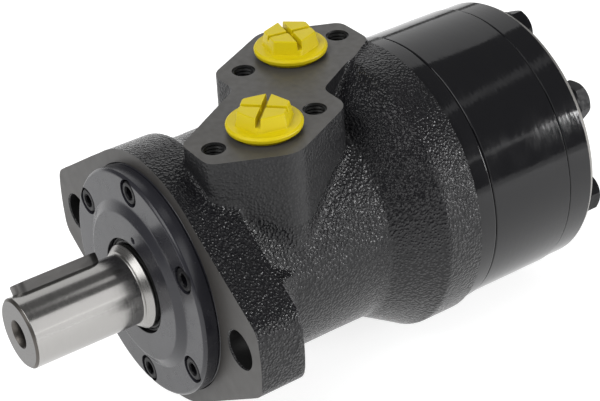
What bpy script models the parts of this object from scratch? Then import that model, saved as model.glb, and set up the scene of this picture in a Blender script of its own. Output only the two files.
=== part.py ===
"""Orbital hydraulic motor with a two-bolt flange, a keyed shaft and plugged side ports.

Frame: the origin is the centre of the flange's mounting face, on the shaft axis.
The shaft points to -Y, the ports point to +Z and the flange's ears lie along X.
Turned pieces are outlines of (radius, depth) pairs. The depth runs down the piece's own
axis, so for everything on the shaft axis it is simply the Y coordinate.
"""
import math

import bmesh
import bpy
from mathutils import Matrix, Vector

MM = 0.001
MERGE = 0.001 * MM
FLAT_ANGLE = 0.002
LARGE_STEPS = 32
SMALL_STEPS = 20
ALONG_SHAFT = (math.radians(90), 0, 0)
UPWARD = (0, 0, 0)
DOWNWARD = (math.radians(180), 0, 0)

# Flange
FLANGE_THICKNESS = 17.5
FLANGE_CORE_RADIUS = 46.3
EAR_END_RADIUS = 65.5
EAR_CORNER_RADIUS = 7.0
EAR_SLOPE = math.radians(56)
FLANGE_HOLE_OFFSET = 53.2
FLANGE_HOLE_RADIUS = 6.75

# Housing along the shaft axis
NECK_RADIUS = 42.0
BARREL_RADIUS = 52.5
HOUSING_REAR = 100.7
BORE_RADIUS = 17.8
GALLERY_RADIUS = 24.0
GALLERY_HALF_WIDTH = 4.5

# Port block on top of the housing
PORT_FACE = 53.0
PORT_FOOT = 5.0
PORT_MIDDLE_Y = 55.25
PORT_OFFSET = (19.0, -18.3)
PORT_WELL_RADIUS = 10.5
PORT_WELL_DEPTH = 15.0
PORT_PASSAGE_RADIUS = 5.0
PORT_SCREW_SPACING = 20.0
PORT_SCREW_RADIUS = 3.4
PORT_SCREW_DEPTH = 13.0

# Front cover and its screws
PILOT_RADIUS = 41.25
COVER_FRONT = -6.1
HUB_FRONT = -8.2
COVER_SEAT = 1.7
COVER_REAR = 8.0
SPIGOT_RADIUS = 27.0
COVER_SCREW_CIRCLE = 36.0
COVER_SCREW_COUNT = 6
COVER_SCREW_START = math.radians(30)
COVER_SCREW_HEAD_RADIUS = 4.25
COVER_SCREW_HEAD_FRONT = -5.9
COVER_SCREW_HEAD_REAR = -0.9

# Output shaft and key
SHAFT_RADIUS = 12.5
SHAFT_END = -52.0
COLLAR_RADIUS = 14.25
COLLAR_FRONT = -12.0
SPOOL_RADIUS = 17.5
SPOOL_REAR = 98.0
KEY_ANGLE = math.radians(128)
KEY_WIDTH = 7.8
KEY_SLOT_WIDTH = 8.2
KEY_FLOOR = 8.5
KEY_TOP = 15.5
KEY_FRONT = -48.5
KEY_REAR = -16.5

# Splines of the cardan shaft
SPLINE_TEETH = 12
SPLINE_SHAFT = (8.1, 9.6, 0.42)
SPLINE_HOLE = (8.5, 10.0, 0.59)
CARDAN_FRONT = 40.0
CARDAN_REAR = 126.0
CARDAN_HEAD_HALF = 6.0
CARDAN_WAIST_RADIUS = 6.8

# Roller set: seven rollers, a star with six lobes, and the star's orbit
ROLLER_COUNT = 7
ROLLER_CIRCLE = 36.0
ROLLER_RADIUS = 8.0
ORBIT_RADIUS = 2.7
STAR_CLEARANCE = 0.24
POCKET_RADIUS = 8.3
RING_BORE_RADIUS = 33.8
RING_RADIUS = 50.6
RING_FRONT = 109.0
RING_REAR = 143.0

# Rear bolts, each midway between two rollers
BOLT_CIRCLE = 41.0
BOLT_START = math.radians(36.5)
BOLT_HOLE_RADIUS = 4.3
BOLT_RADIUS = 3.9
BOLT_TIP = 87.0
ROLLER_START = BOLT_START - math.pi / ROLLER_COUNT

# Distributor plate and end cover
PLATE_FRONT = 101.0
PLATE_REAR = 108.7
PLATE_RADIUS = 51.0
CHANNEL_RADIUS = 2.5
CHANNEL_CIRCLE = 29.0
END_COVER_FRONT = 143.3
END_COVER_REAR = 154.8
END_COVER_RADIUS = 50.2
FACE_RING_RADIUS = 47.5
FACE_RING_THICKNESS = 0.85
FACE_GROOVE_HALF = 1.2
FACE_GROOVE_DEPTH = 2.0

# Yellow plugs: how far they stand off the port face
PLUG_FLANGE_RADIUS = 13.0
PLUG_UNDERSIDE = -2.05
PLUG_FLANGE_TOP = -3.4
PLUG_TOP = -8.4
PLUG_STEM_END = 8.0
PLUG_HEX_FOOT = 10.3
PLUG_HEX_TOP = 9.2
PLUG_TURNS = (math.radians(-46), math.radians(-12))

# Drain plug under the neck
DRAIN_Y = 28.0
DRAIN_SEAT = -41.0


def clear_scene():
    for thing in list(bpy.data.objects):
        bpy.data.objects.remove(thing, do_unlink=True)


def collection(name):
    group = bpy.data.collections.new(name)
    bpy.context.scene.collection.children.link(group)
    return group


def material(name, colour, roughness, metallic):
    look = bpy.data.materials.new(name)
    look.use_nodes = True
    shader = look.node_tree.nodes["Principled BSDF"]
    shader.inputs["Base Color"].default_value = (*colour, 1)
    shader.inputs["Roughness"].default_value = roughness
    shader.inputs["Metallic"].default_value = metallic
    look.diffuse_color = (*colour, 1)
    return look


def polar(radius, angle):
    return radius * math.cos(angle), radius * math.sin(angle)


def arc(centre, radius, start, end, count):
    """Points on an arc, both ends included."""
    turns = [start + (end - start) * i / (count - 1) for i in range(count)]
    return [(centre[0] + radius * math.cos(a), centre[1] + radius * math.sin(a)) for a in turns]


def circle(radius, count, centre=(0, 0)):
    return arc(centre, radius, 0, 2 * math.pi * (count - 1) / count, count)


def around(count, radius, start):
    return [polar(radius, start + 2 * math.pi * i / count) for i in range(count)]


def place(name, mesh, group, look, location=(0, 0, 0), rotation=(0, 0, 0)):
    """An object on a mesh, with its location given in millimetres."""
    piece = bpy.data.objects.new(name, mesh)
    group.objects.link(piece)
    piece.location = Vector(location) * MM
    piece.rotation_euler = rotation
    if look and not mesh.materials:
        mesh.materials.append(look)
    return piece


def hide(cutter):
    cutter.hide_render = True
    cutter.display_type = "WIRE"
    return cutter


def turned(name, outline, steps, look, group, location=(0, 0, 0), rotation=ALONG_SHAFT):
    """A turned piece. The outline runs down its outer side; off the axis it is a ring."""
    mesh = bpy.data.meshes.new(name)
    points = [(radius * MM, 0, -depth * MM) for radius, depth in outline]
    edges = [(i, i + 1) for i in range(len(points) - 1)]
    if min(radius for radius, _ in outline) > 0:
        edges.append((len(points) - 1, 0))
    mesh.from_pydata(points, edges, [])
    piece = place(name, mesh, group, look, location, rotation)
    screw = piece.modifiers.new("turn", "SCREW")
    screw.axis = "Z"
    screw.angle = 2 * math.pi
    screw.steps = steps
    screw.render_steps = steps
    screw.use_merge_vertices = True
    screw.merge_threshold = MERGE
    return piece


def baked(piece):
    """Turn a piece's modifiers into its own mesh, so that copies can share it."""
    bpy.context.view_layer.update()
    evaluated = piece.evaluated_get(bpy.context.evaluated_depsgraph_get())
    mesh = bpy.data.meshes.new_from_object(evaluated)
    mesh.name = piece.name
    piece.modifiers.clear()
    piece.data = mesh
    return piece


def smooth(piece):
    """Smooth shading with hard corners on the finished mesh, with its flat faces merged."""
    baked(piece)
    solid = bmesh.new()
    solid.from_mesh(piece.data)
    bmesh.ops.dissolve_limit(solid, angle_limit=FLAT_ANGLE, verts=solid.verts, edges=solid.edges)
    solid.to_mesh(piece.data)
    solid.free()
    piece.data.shade_smooth()
    piece.data.set_sharp_from_angle(angle=math.radians(35))
    return piece


def prism(name, loops, low, high, look, group, rotation=ALONG_SHAFT, location=(0, 0, 0)):
    """A flat outline, with its inner loops as holes, made into a solid between two depths."""
    curve = bpy.data.curves.new(name, "CURVE")
    curve.dimensions = "2D"
    curve.fill_mode = "BOTH"
    curve.extrude = (high - low) / 2 * MM
    for loop in loops:
        spline = curve.splines.new("POLY")
        spline.points.add(len(loop) - 1)
        for point, (x, y) in zip(spline.points, loop):
            point.co = (x * MM, y * MM, 0, 1)
        spline.use_cyclic_u = True
    flat = bpy.data.objects.new(name + "_outline", curve)
    group.objects.link(flat)
    bpy.context.view_layer.update()
    evaluated = flat.evaluated_get(bpy.context.evaluated_depsgraph_get())
    mesh = bpy.data.meshes.new_from_object(evaluated)
    bpy.data.objects.remove(flat, do_unlink=True)
    solid = bmesh.new()
    solid.from_mesh(mesh)
    bmesh.ops.remove_doubles(solid, verts=solid.verts, dist=MERGE)
    bmesh.ops.translate(solid, verts=solid.verts, vec=(0, 0, -(low + high) / 2 * MM))
    bmesh.ops.recalc_face_normals(solid, faces=solid.faces)
    bmesh.ops.dissolve_limit(solid, angle_limit=FLAT_ANGLE, verts=solid.verts, edges=solid.edges)
    solid.to_mesh(mesh)
    solid.free()
    mesh.name = name
    return place(name, mesh, group, look, location, rotation)


def rods(name, spans, radius, sides, group, end_radius=None):
    """Straight round or many-sided rods between pairs of points, as one mesh."""
    solid = bmesh.new()
    for start, end in spans:
        start, end = Vector(start) * MM, Vector(end) * MM
        turn = (end - start).to_track_quat("Z", "Y").to_matrix().to_4x4()
        bmesh.ops.create_cone(
            solid, cap_ends=True, segments=sides, depth=(end - start).length,
            radius1=radius * MM, radius2=(radius if end_radius is None else end_radius) * MM,
            matrix=Matrix.Translation((start + end) / 2) @ turn)
    mesh = bpy.data.meshes.new(name)
    solid.to_mesh(mesh)
    solid.free()
    return hide(place(name, mesh, group, None))


def blocks(name, size, places, group):
    """Boxes of one size, each placed by a matrix in metres, as one mesh."""
    solid = bmesh.new()
    scale = Matrix.Diagonal((size[0] * MM, size[1] * MM, size[2] * MM, 1))
    for where in places:
        bmesh.ops.create_cube(solid, size=1, matrix=where @ scale)
    mesh = bpy.data.meshes.new(name)
    solid.to_mesh(mesh)
    solid.free()
    return hide(place(name, mesh, group, None))


def combine(target, other, operation):
    step = target.modifiers.new(operation.lower(), "BOOLEAN")
    step.operation = operation
    step.object = other
    step.solver = "EXACT"
    hide(other)


def cut(target, cutter):
    combine(target, cutter, "DIFFERENCE")


def join(target, piece):
    combine(target, piece, "UNION")


def along_y(points, front, rear):
    """Spans parallel to the shaft axis at places in the X and Z plane."""
    return [((x, front, z), (x, rear, z)) for x, z in points]


def ear_outline():
    """Round middle, straight flanks and round ears, mirrored into four quarters."""
    flank = math.acos((FLANGE_CORE_RADIUS - EAR_CORNER_RADIUS) / (EAR_END_RADIUS - EAR_CORNER_RADIUS))
    corner_turn = EAR_SLOPE - flank
    corner = polar(EAR_END_RADIUS - EAR_CORNER_RADIUS, corner_turn)
    quarter = arc((0, 0), EAR_END_RADIUS, 0, corner_turn, 4)[:-1]
    quarter += arc(corner, EAR_CORNER_RADIUS, corner_turn, EAR_SLOPE, 6)
    quarter += arc((0, 0), FLANGE_CORE_RADIUS, EAR_SLOPE, math.pi / 2, 8)
    top = quarter + [(-x, z) for x, z in reversed(quarter[:-1])]
    return top + [(x, -z) for x, z in reversed(top[1:-1])]


def rounded(corners):
    """A closed outline from (x, y, fillet radius) corners, with each corner as an arc."""
    outline = []
    for i, (x, y, radius) in enumerate(corners):
        here = Vector((x, y))
        before = (Vector(corners[i - 1][:2]) - here).normalized()
        after = (Vector(corners[(i + 1) % len(corners)][:2]) - here).normalized()
        half = before.angle(after) / 2
        centre = here + (before + after).normalized() * (radius / math.sin(half))
        reach = radius / math.tan(half)
        first = here + before * reach - centre
        last = here + after * reach - centre
        start = math.atan2(first.y, first.x)
        sweep = (math.atan2(last.y, last.x) - start + math.pi) % (2 * math.pi) - math.pi
        outline += arc(centre, radius, start, start + sweep, 5)
    return outline


def port_outline():
    """Half of the port face's outline; the other half is the same turned half a turn."""
    half = [(26.5, 10.0, 4.5), (39.4, 36.3, 10.0), (23.5, 66.9, 7.0), (9.8, 66.9, 3.0),
            (-10.2, 100.5, 4.5)]
    other = [(-x, 2 * PORT_MIDDLE_Y - y, radius) for x, y, radius in half]
    return rounded(half + other)


def port_places():
    x, y = PORT_OFFSET
    return [(x, PORT_MIDDLE_Y + y), (-x, PORT_MIDDLE_Y - y)]


def bolt_places():
    return around(ROLLER_COUNT, BOLT_CIRCLE, BOLT_START)


def spline_outline(shape, turn=0.0):
    """Straight-sided teeth: root radius, tip radius and the share of the pitch they fill."""
    root, tip, share = shape
    pitch = 2 * math.pi / SPLINE_TEETH
    outline = []
    for i in range(SPLINE_TEETH):
        middle = turn + i * pitch
        half = pitch * share / 2
        outline += [polar(root, middle - half), polar(tip, middle - half * 0.8),
                    polar(tip, middle + half * 0.8), polar(root, middle + half)]
    return outline


def star_outline():
    """Six lobes: the inner offset of the path that the roller centres take around the star."""
    count = 66
    outline = []
    for i in range(count):
        t = 2 * math.pi * i / count
        fast = ROLLER_COUNT * t
        x = ROLLER_CIRCLE * math.cos(t) - ORBIT_RADIUS * math.cos(fast)
        y = ROLLER_CIRCLE * math.sin(t) - ORBIT_RADIUS * math.sin(fast)
        slope = Vector((-ROLLER_CIRCLE * math.sin(t) + ORBIT_RADIUS * ROLLER_COUNT * math.sin(fast),
                        ROLLER_CIRCLE * math.cos(t) - ORBIT_RADIUS * ROLLER_COUNT * math.cos(fast)))
        inward = Vector((-slope.y, slope.x)).normalized() * (ROLLER_RADIUS + STAR_CLEARANCE)
        point = Matrix.Rotation(ROLLER_START, 2) @ Vector((x + inward.x, y + inward.y))
        outline.append((point.x, point.y))
    return outline


def pocket_outline():
    """The ring's bore with one round pocket for each roller."""
    meet = (RING_BORE_RADIUS ** 2 + ROLLER_CIRCLE ** 2 - POCKET_RADIUS ** 2) / (2 * ROLLER_CIRCLE)
    height = math.sqrt(RING_BORE_RADIUS ** 2 - meet ** 2)
    edge = math.atan2(height, meet)
    wrap = math.atan2(height, meet - ROLLER_CIRCLE)
    outline = []
    for i in range(ROLLER_COUNT):
        turn = ROLLER_START + 2 * math.pi * i / ROLLER_COUNT
        outline += arc(polar(ROLLER_CIRCLE, turn), POCKET_RADIUS, turn - wrap, turn + wrap, 11)
        land = arc((0, 0), RING_BORE_RADIUS, turn + edge, turn + 2 * math.pi / ROLLER_COUNT - edge, 5)
        outline += land[1:-1]
    return outline


def flange_plate(looks, cutters):
    plate = prism("flange_plate", [ear_outline()], 0, FLANGE_THICKNESS, looks["iron"], cutters)
    rounding = plate.modifiers.new("cast_edge", "BEVEL")
    rounding.limit_method = "WEIGHT"
    rounding.width = 3.5 * MM
    rounding.segments = 2
    weights = plate.data.attributes.new("bevel_weight_edge", "FLOAT", "EDGE")
    for edge in plate.data.edges:
        ends = [plate.data.vertices[i].co.z for i in edge.vertices]
        weights.data[edge.index].value = float(max(ends) < -FLANGE_THICKNESS * MM * 0.9)
    ears = [(side * FLANGE_HOLE_OFFSET, 0) for side in (1, -1)]
    cut(plate, rods("ear_holes", along_y(ears, -1, FLANGE_THICKNESS + 1), FLANGE_HOLE_RADIUS, 20, cutters))
    return plate


def port_block(looks, cutters):
    """The block under the port face, a little wider at its foot so that it leaves the mould."""
    block = prism("port_block", [port_outline()], -PORT_FACE, -PORT_FOOT, looks["iron"], cutters, UPWARD)
    for vertex in block.data.vertices:
        if vertex.co.z < PORT_FACE * MM / 2:
            vertex.co.x *= 1.02
    return block


def ear_webs(looks, cutters):
    """The cast ramps that join the back of each ear to the neck."""
    ramps = []
    for side in (1, -1):
        outline = [(side * 30, 15), (side * 46, 15), (side * 46, 18.5), (side * 41, 30.5), (side * 30, 33)]
        ramps.append(prism("ear_web", [outline], -13, 13, looks["iron"], cutters, UPWARD))
    return ramps


def cut_cavities(housing, looks, cutters):
    """The stepped front recess, the spool bore with its two oil galleries, and the rear groove."""
    recess = [(0, -1), (PILOT_RADIUS + 0.3, -1), (PILOT_RADIUS + 0.3, 2.0), (SPIGOT_RADIUS + 0.3, 2.0),
              (SPIGOT_RADIUS + 0.3, 8.3), (25.0, 8.3), (25.0, 16.9), (0, 16.9)]
    cut(housing, turned("front_recess", recess, LARGE_STEPS, looks["iron"], cutters))
    bore = [(0, 12), (BORE_RADIUS, 12)]
    for _, y in port_places():
        low, high = y - GALLERY_HALF_WIDTH, y + GALLERY_HALF_WIDTH
        bore += [(BORE_RADIUS, low), (GALLERY_RADIUS, low), (GALLERY_RADIUS, high), (BORE_RADIUS, high)]
    bore += [(BORE_RADIUS, HOUSING_REAR + 1), (0, HOUSING_REAR + 1)]
    cut(housing, turned("spool_passage", bore, SMALL_STEPS, looks["iron"], cutters))
    inner, outer = FACE_RING_RADIUS - FACE_GROOVE_HALF, FACE_RING_RADIUS + FACE_GROOVE_HALF
    groove = [(inner, HOUSING_REAR - FACE_GROOVE_DEPTH), (outer, HOUSING_REAR - FACE_GROOVE_DEPTH),
              (outer, HOUSING_REAR + 1), (inner, HOUSING_REAR + 1)]
    cut(housing, turned("housing_groove", groove, LARGE_STEPS, looks["iron"], cutters))


def make_housing(looks, group, cutters):
    outline = [(0, 3), (43.4, 3), (43.9, 16.5), (43.5, 18.9), (NECK_RADIUS, 22), (NECK_RADIUS, 69.6),
               (42.6, 71), (51.7, 86), (BARREL_RADIUS, 87.4),
               (BARREL_RADIUS, HOUSING_REAR - 0.6), (51.9, HOUSING_REAR)]
    housing = turned("housing", outline + [(0, HOUSING_REAR)], LARGE_STEPS, looks["iron"], group)
    join(housing, flange_plate(looks, cutters))
    join(housing, port_block(looks, cutters))
    for ramp in ear_webs(looks, cutters):
        join(housing, ramp)
    cut_cavities(housing, looks, cutters)
    screws = around(COVER_SCREW_COUNT, COVER_SCREW_CIRCLE, COVER_SCREW_START)
    cut(housing, rods("cover_screw_holes", along_y(screws, 0, 12), 2.6, 12, cutters))
    bolts = along_y(bolt_places(), BOLT_TIP - 1.3, HOUSING_REAR + 1)
    cut(housing, rods("bolt_holes", bolts, 4.3, 12, cutters))
    channels = []
    for x, z in around(ROLLER_COUNT, 1.0, BOLT_START):
        mouth = (x * CHANNEL_CIRCLE, HOUSING_REAR + 1, z * CHANNEL_CIRCLE)
        channels.append((mouth, (x * 16, 85, z * 16)))
    cut(housing, rods("oil_channels", channels, CHANNEL_RADIUS, 8, cutters))
    wells, passages, port_screws = [], [], []
    for x, y in port_places():
        wells.append(((x, y, PORT_FACE - PORT_WELL_DEPTH), (x, y, PORT_FACE + 1)))
        passages.append(((x, y, 12), (x, y, PORT_FACE - PORT_WELL_DEPTH + 1)))
        for shift in (PORT_SCREW_SPACING, -PORT_SCREW_SPACING):
            top = (x, y + shift, PORT_FACE + 1)
            port_screws.append(((x, y + shift, PORT_FACE - PORT_SCREW_DEPTH), top))
    cut(housing, rods("port_wells", wells, PORT_WELL_RADIUS, 28, cutters))
    cut(housing, rods("port_passages", passages, PORT_PASSAGE_RADIUS, 12, cutters))
    cut(housing, rods("port_screw_holes", port_screws, PORT_SCREW_RADIUS, 12, cutters))
    below = (0, DRAIN_Y, -NECK_RADIUS - 6)
    seat = (0, DRAIN_Y, DRAIN_SEAT)
    cut(housing, rods("drain_seat", [(below, seat)], 8.8, 24, cutters))
    cut(housing, rods("drain_hole", [(below, (0, DRAIN_Y, -32))], 5.9, 20, cutters))
    cut(housing, rods("drain_passage", [(below, (0, DRAIN_Y, -16))], 2.2, 10, cutters))
    return smooth(housing)


def make_front_cover(looks, group, cutters):
    groove = [(SPIGOT_RADIUS, 3.5), (24.7, 3.5), (24.7, 6.2), (SPIGOT_RADIUS, 6.2)]
    outline = [(17.3, HUB_FRONT), (27, HUB_FRONT), (30, COVER_FRONT), (PILOT_RADIUS - 0.75, COVER_FRONT),
               (PILOT_RADIUS, COVER_FRONT + 0.75), (PILOT_RADIUS, COVER_SEAT), (SPIGOT_RADIUS, COVER_SEAT)]
    outline += groove + [(SPIGOT_RADIUS, COVER_REAR), (21.2, COVER_REAR), (21.2, 0.5), (14.6, 0.5),
                         (14.6, -3.7), (17.3, -3.7)]
    cover = turned("front_cover", outline, LARGE_STEPS, looks["machined"], group)
    places = around(COVER_SCREW_COUNT, COVER_SCREW_CIRCLE, COVER_SCREW_START)
    cut(cover, rods("head_recesses", along_y(places, COVER_FRONT - 1, -0.6), 4.75, 14, cutters))
    cut(cover, rods("cover_holes", along_y(places, COVER_FRONT - 1, 3), 2.75, 10, cutters))
    return smooth(cover)


def make_cover_screws(looks, group, cutters):
    outline = [(0, COVER_SCREW_HEAD_FRONT), (COVER_SCREW_HEAD_RADIUS - 0.4, COVER_SCREW_HEAD_FRONT),
               (COVER_SCREW_HEAD_RADIUS, COVER_SCREW_HEAD_FRONT + 0.4),
               (COVER_SCREW_HEAD_RADIUS, COVER_SCREW_HEAD_REAR), (2.3, COVER_SCREW_HEAD_REAR),
               (2.3, 10.6), (1.8, 11.1), (0, 11.1)]
    first = turned("cover_screw_1", outline, 10, looks["black_steel"], group)
    cut(first, rods("key_socket", [((0, COVER_SCREW_HEAD_FRONT - 1, 0), (0, -3.2, 0))], 2.31, 6, cutters))
    smooth(first)
    places = around(COVER_SCREW_COUNT, COVER_SCREW_CIRCLE, COVER_SCREW_START)
    spread(first, "cover_screw_", places, group)


def spread(first, stem, places, group):
    """Put a finished piece and its copies at places in the X and Z plane."""
    for i, (x, z) in enumerate(places):
        copy = first if i == 0 else place(f"{stem}{i + 1}", first.data, group, None, rotation=ALONG_SHAFT)
        copy.location.x = x * MM
        copy.location.z = z * MM
        copy.rotation_euler.y = -i * 0.4


def make_seals(looks, group):
    dust = [(14.55, -7.2), (15.6, -8.0), (17.0, -8.0), (17.0, -4.0), (14.55, -4.0)]
    smooth(turned("dust_seal", dust, SMALL_STEPS, looks["rubber"], group))
    lip = [(16.8, 0.9), (20.9, 0.9), (20.9, 7.6), (19.6, 7.6), (19.6, 2.4), (16.4, 2.4),
           (15.6, 6.4), (14.6, 5.4), (14.9, 0.9)]
    smooth(turned("shaft_seal", lip, SMALL_STEPS, looks["rubber"], group))


def torus_outline(radius, depth, thickness, sides):
    turns = [math.pi / 2 - 2 * math.pi * i / sides for i in range(sides)]
    return [(radius + thickness * math.cos(a), depth - thickness * math.sin(a)) for a in turns]


def make_o_rings(looks, group):
    cover = torus_outline(25.95, 4.85, 0.95, 5)
    smooth(turned("cover_o_ring", cover, LARGE_STEPS, looks["rubber"], group))
    depths = {"housing_o_ring": HOUSING_REAR - 1, "plate_o_ring": PLATE_REAR - 1,
              "end_cover_o_ring": END_COVER_FRONT + 1}
    for name, depth in depths.items():
        outline = torus_outline(FACE_RING_RADIUS, depth, FACE_RING_THICKNESS, 5)
        smooth(turned(name, outline, LARGE_STEPS, looks["rubber"], group))


def make_output_shaft(looks, group, cutters):
    """Shaft end, seal collar, thrust collar and valve spool in one piece."""
    outline = [(0, SHAFT_END), (SHAFT_RADIUS - 0.9, SHAFT_END), (SHAFT_RADIUS, SHAFT_END + 0.9),
               (SHAFT_RADIUS, COLLAR_FRONT - 0.4), (COLLAR_RADIUS - 0.5, COLLAR_FRONT),
               (COLLAR_RADIUS, COLLAR_FRONT + 0.5), (COLLAR_RADIUS, 12.4), (23.5, 12.4), (23.5, 16.3),
               (SPOOL_RADIUS, 16.3), (SPOOL_RADIUS, SPOOL_REAR), (0, SPOOL_REAR)]
    shaft = turned("output_shaft", outline, 28, looks["ground_steel"], group)
    bore = [(0, CARDAN_FRONT + 8), (10.5, CARDAN_FRONT + 8), (10.5, SPOOL_REAR + 1), (0, SPOOL_REAR + 1)]
    cut(shaft, hide(turned("spool_bore", bore, SMALL_STEPS, looks["ground_steel"], cutters)))
    teeth = prism("shaft_spline_cut", [spline_outline(SPLINE_HOLE)], CARDAN_FRONT - 9, CARDAN_FRONT + 9,
                  looks["ground_steel"], cutters)
    cut(shaft, teeth)
    centre = [(0, SHAFT_END - 1), (6.5, SHAFT_END - 1), (4.2, SHAFT_END + 1.6), (4.2, SHAFT_END + 3.3),
              (3.4, SHAFT_END + 3.3), (3.4, SHAFT_END + 22), (0, SHAFT_END + 24)]
    cut(shaft, hide(turned("centre_hole", centre, 20, looks["ground_steel"], cutters)))
    slot = prism("key_slot", [key_outline(KEY_SLOT_WIDTH, 0.2)], -20, -KEY_FLOOR, looks["ground_steel"],
                 cutters, rotation=(0, math.pi / 2 - KEY_ANGLE, 0))
    cut(shaft, slot)
    places = []
    for i in range(12):
        front = 35.0 if i % 2 else 71.5
        turn = Matrix.Rotation(math.radians(15 + 30 * i), 4, "Y")
        places.append(turn @ Matrix.Translation(Vector((0, (front + 88) / 2, SPOOL_RADIUS)) * MM)
                      @ Matrix.Diagonal((1, 88 - front, 1, 1)))
    cut(shaft, blocks("spool_slots", (3.0, 1.0, 3.6), places, cutters))
    return smooth(shaft)


def key_outline(width, extra):
    """A bar with round ends, lying along the shaft."""
    radius = width / 2
    front, rear = KEY_FRONT - extra + radius, KEY_REAR + extra - radius
    return (arc((0, rear), radius, 0, math.pi, 9) + arc((0, front), radius, math.pi, 2 * math.pi, 9))


def make_shaft_key(looks, group):
    key = prism("shaft_key", [key_outline(KEY_WIDTH, 0)], -KEY_TOP, -KEY_FLOOR - 0.2, looks["key_steel"],
                group, rotation=(0, math.pi / 2 - KEY_ANGLE, 0))
    edge = key.modifiers.new("edge", "BEVEL")
    edge.width = 0.35 * MM
    edge.segments = 1
    edge.limit_method = "ANGLE"
    edge.angle_limit = math.radians(60)
    return smooth(key)


def make_thrust_bearing(looks, group, cutters):
    race = [(14.8, 8.3), (24.5, 8.3), (24.5, 9.8), (14.8, 9.8)]
    smooth(turned("thrust_race", race, SMALL_STEPS, looks["ground_steel"], group))
    ring = [(15.0, 10.4), (23.2, 10.4), (23.2, 11.8), (15.0, 11.8)]
    cage = turned("thrust_needle_cage", ring, SMALL_STEPS, looks["ground_steel"], group)
    needles = []
    for x, z in around(12, 1.0, 0.1):
        needles.append(((x * 16, 11.1, z * 16), (x * 22.4, 11.1, z * 22.4)))
    join(cage, rods("needles", needles, 0.98, 6, cutters))
    return smooth(cage)


def star_centre():
    return polar(ORBIT_RADIUS, ROLLER_START)


def make_cardan(looks, group, cutters):
    """The splined shaft that leans from the shaft axis to the star's centre."""
    half = CARDAN_HEAD_HALF
    length = (CARDAN_REAR - CARDAN_FRONT) / 2
    head, waist = SPLINE_SHAFT[0], CARDAN_WAIST_RADIUS
    outline = [(0, -length - half - 1), (waist, -length - half - 1), (head, -length - half),
               (head, -length + half), (waist, -length + half + 3), (waist, length - half - 3),
               (head, length - half), (head, length + half), (waist, length + half + 1),
               (0, length + half + 1)]
    x, z = star_centre()
    lean = Vector((x, CARDAN_REAR - CARDAN_FRONT, z))
    turn = (-lean).to_track_quat("Z", "X").to_euler()
    where = (x / 2, (CARDAN_FRONT + CARDAN_REAR) / 2, z / 2)
    cardan = turned("cardan_shaft", outline, 16, looks["dark_steel"], group, where, turn)
    upright = Vector((0, 1, 0))
    upright.rotate(turn)
    sideways = Vector((1, 0, 0))
    sideways.rotate(turn)
    tooth = math.atan2(upright.x, sideways.x)
    for name, middle in (("front_spline", -length), ("rear_spline", length)):
        teeth = prism(name, [spline_outline(SPLINE_SHAFT, tooth)], middle - half, middle + half,
                      looks["dark_steel"], cutters, turn, where)
        join(cardan, teeth)
    return smooth(cardan)


def make_distributor_plate(looks, group, cutters):
    inner, outer = FACE_RING_RADIUS - FACE_GROOVE_HALF, FACE_RING_RADIUS + FACE_GROOVE_HALF
    floor = PLATE_REAR - FACE_GROOVE_DEPTH
    groove = [(outer, PLATE_REAR), (outer, floor), (inner, floor), (inner, PLATE_REAR)]
    outline = [(13, PLATE_FRONT), (PLATE_RADIUS, PLATE_FRONT), (PLATE_RADIUS, PLATE_REAR - 0.5),
               (PLATE_RADIUS - 0.4, PLATE_REAR)]
    plate = turned("distributor_plate", outline + groove + [(13, PLATE_REAR)], LARGE_STEPS,
                   looks["gloss_black"], group)
    cut(plate, rods("plate_bolt_holes", along_y(bolt_places(), PLATE_FRONT - 1, PLATE_REAR + 1),
                    BOLT_HOLE_RADIUS, 12, cutters))
    ports = along_y(around(ROLLER_COUNT, CHANNEL_CIRCLE, BOLT_START), PLATE_FRONT - 1, PLATE_REAR + 1)
    cut(plate, rods("plate_ports", ports, CHANNEL_RADIUS, 8, cutters))
    return smooth(plate)


def make_gear_ring(looks, group):
    holes = [circle(BOLT_HOLE_RADIUS, 12, where) for where in bolt_places()]
    loops = [circle(RING_RADIUS, 32), pocket_outline()] + holes
    return smooth(prism("gear_ring", loops, RING_FRONT, RING_REAR, looks["gloss_black"], group))


def make_star(looks, group):
    x, z = star_centre()
    loops = [star_outline(), spline_outline(SPLINE_HOLE)]
    star = prism("rotor_star", loops, RING_FRONT + 0.25, RING_REAR - 0.25, looks["ground_steel"], group,
                 location=(x, 0, z))
    return smooth(star)


def make_rollers(looks, group):
    low, high, radius = RING_FRONT + 0.3, RING_REAR - 0.3, ROLLER_RADIUS
    outline = [(0, low), (radius - 0.4, low), (radius, low + 0.4), (radius, high - 0.4),
               (radius - 0.4, high), (0, high)]
    first = smooth(turned("roller_1", outline, 18, looks["ground_steel"], group))
    spread(first, "roller_", around(ROLLER_COUNT, ROLLER_CIRCLE, ROLLER_START), group)


def make_cardan_spacer(looks, group):
    x, z = star_centre()
    front, rear = CARDAN_REAR + CARDAN_HEAD_HALF + 4, RING_REAR - 0.6
    outline = [(0, front), (8.0, front), (8.0, rear), (0, rear)]
    spacer = turned("cardan_spacer", outline, 16, looks["dark_steel"], group, location=(x, 0, z))
    return smooth(spacer)


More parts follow.
